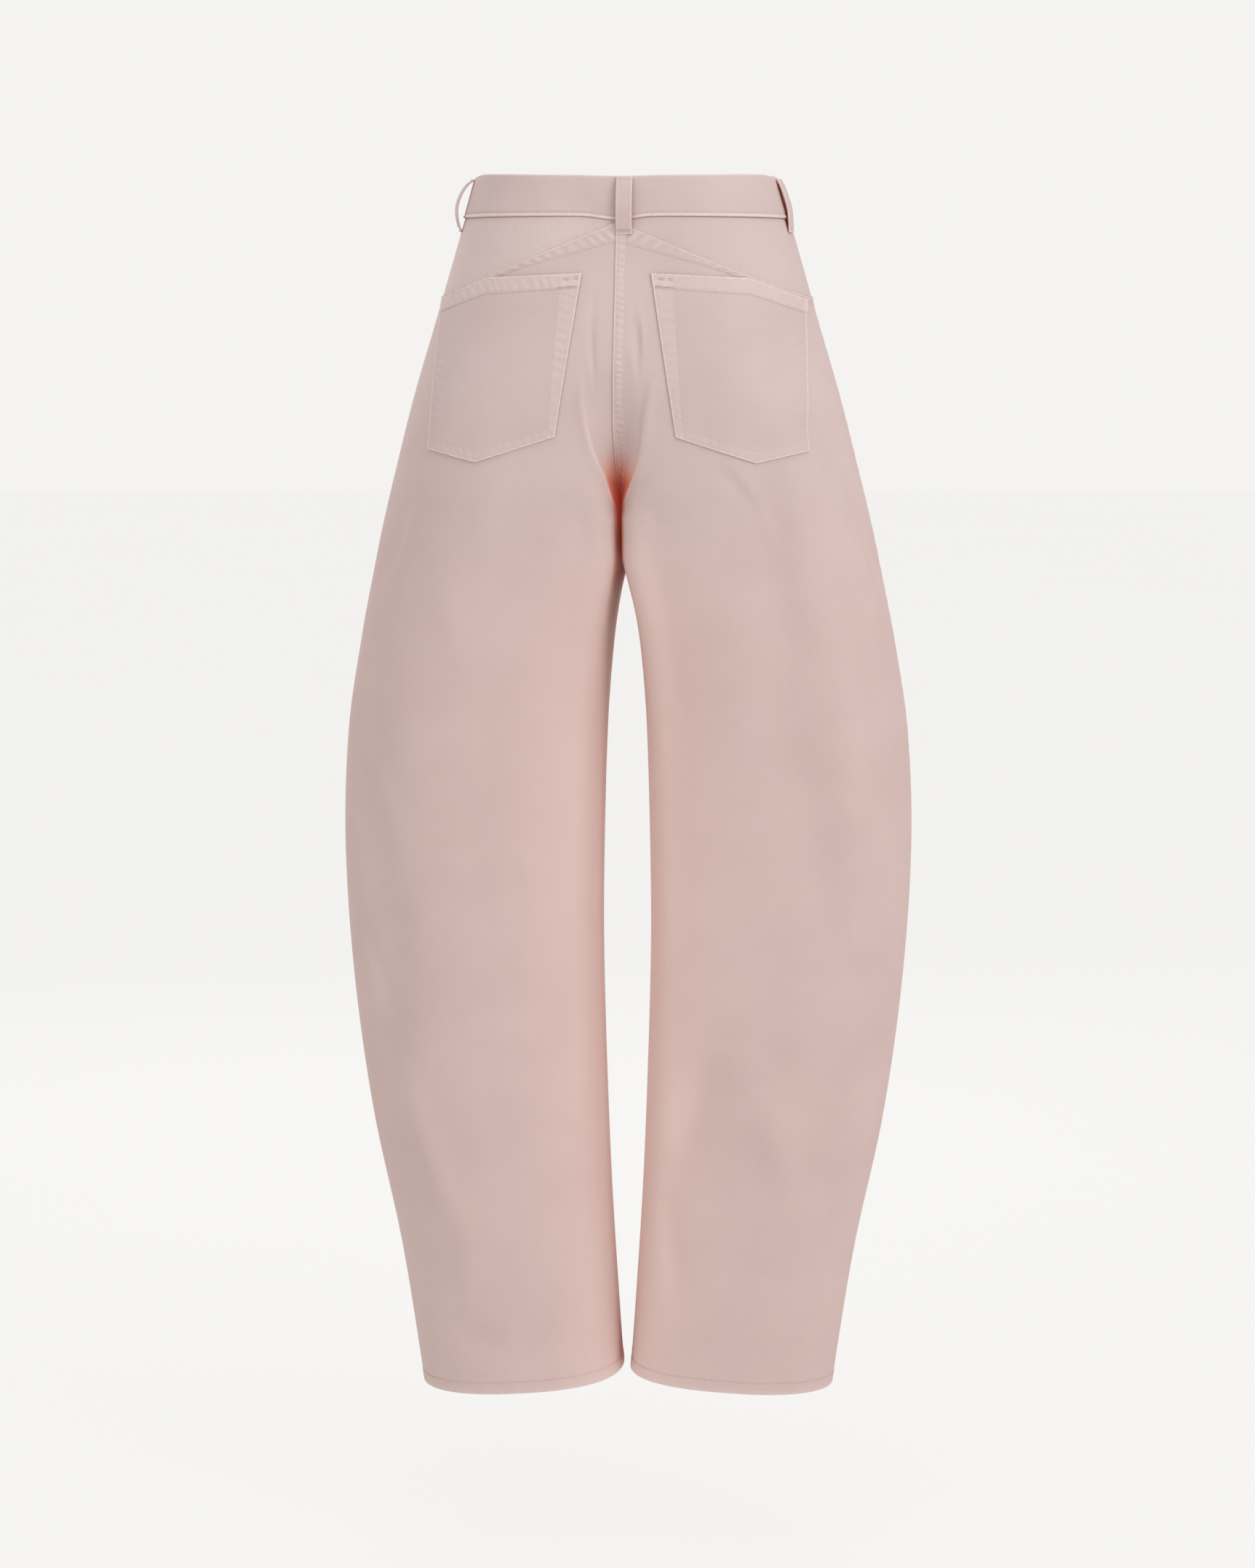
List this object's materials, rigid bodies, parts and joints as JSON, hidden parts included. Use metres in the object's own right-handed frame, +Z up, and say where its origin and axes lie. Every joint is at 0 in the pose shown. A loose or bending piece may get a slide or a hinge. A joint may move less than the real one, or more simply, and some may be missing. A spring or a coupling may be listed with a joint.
{
  "type": "barrel leg trousers",
  "caption": "Barrel leg cotton twill trousers in their worn, filled-out shape, with slanted back yokes, patch back pockets, belt loops and a fly.",
  "frame": {"origin": "the middle of the waist opening, half way up the back of the waistband, where a waist holds the trousers up", "axes": "+Z up towards the waist, +Y towards the wearer's front, so the back of the trousers faces -Y, and +X towards the wearer's right"},
  "size_m": [0.4948, 0.2316, 1.0635],
  "materials": {
    "twill": "matt garment-washed cotton twill in pale dusty pink",
    "worked_twill": "the same twill, paler where it is stitched and folded",
    "button_metal": "aged satin metal"
  },
  "bodies": {
    "root": {"back_left": "twill", "back_right": "twill", "front_left": "twill", "front_right": "twill", "yoke_left": "twill", "yoke_right": "twill", "waistband": "worked_twill", "back_pocket_left": "worked_twill", "back_pocket_right": "worked_twill", "fly": "worked_twill", "belt_loop_back": "worked_twill", "belt_loop_side_left": "worked_twill", "belt_loop_side_right": "worked_twill", "belt_loop_front_left": "worked_twill", "belt_loop_front_right": "worked_twill", "button": "button_metal"}
  },
  "joints": []
}
